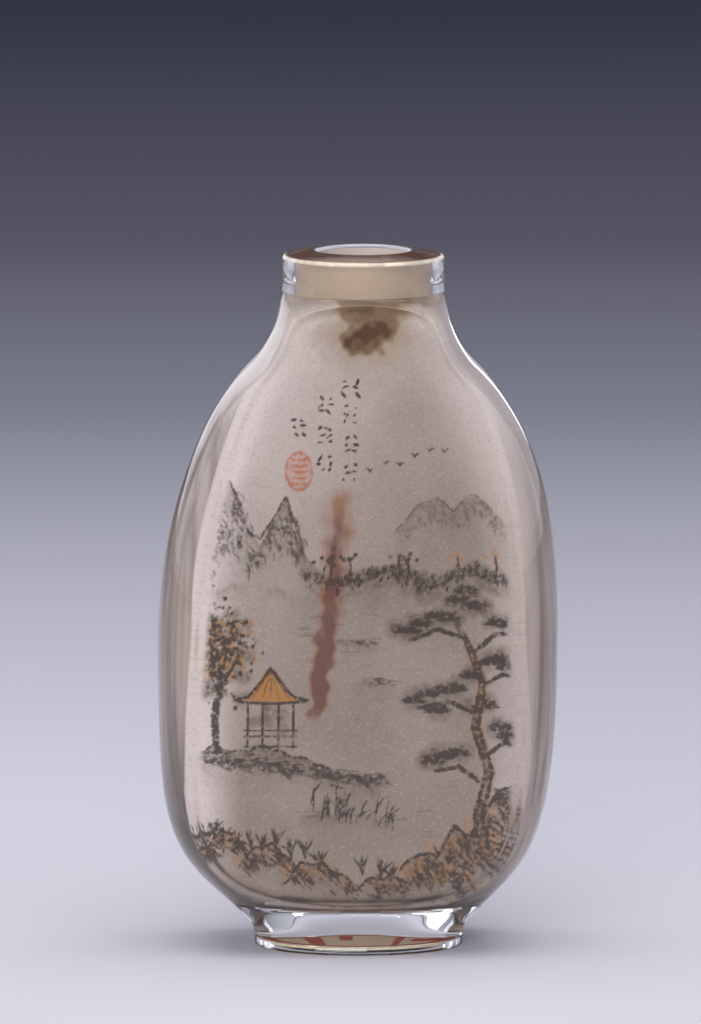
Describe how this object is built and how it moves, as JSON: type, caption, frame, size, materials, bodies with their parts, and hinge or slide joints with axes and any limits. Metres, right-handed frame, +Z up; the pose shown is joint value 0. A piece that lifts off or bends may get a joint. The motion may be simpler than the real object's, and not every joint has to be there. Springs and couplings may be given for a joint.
{
  "type": "snuff bottle",
  "caption": "Small flattened glass flask with flat faces, a short neck and an oval foot, painted on the inside, with a paper label under the foot.",
  "frame": {"origin": "centre of the foot's underside", "axes": "+Z up through the mouth, +X across the flat faces, -Y out of the painted front face"},
  "size_m": [0.0354, 0.0156, 0.062],
  "materials": {
    "glass": "clear polished glass with a matt painted inner wall",
    "paper": "matt cream paper with a red printed border"
  },
  "bodies": {
    "root": {"bottle": "glass", "base_label": "paper"}
  },
  "joints": []
}
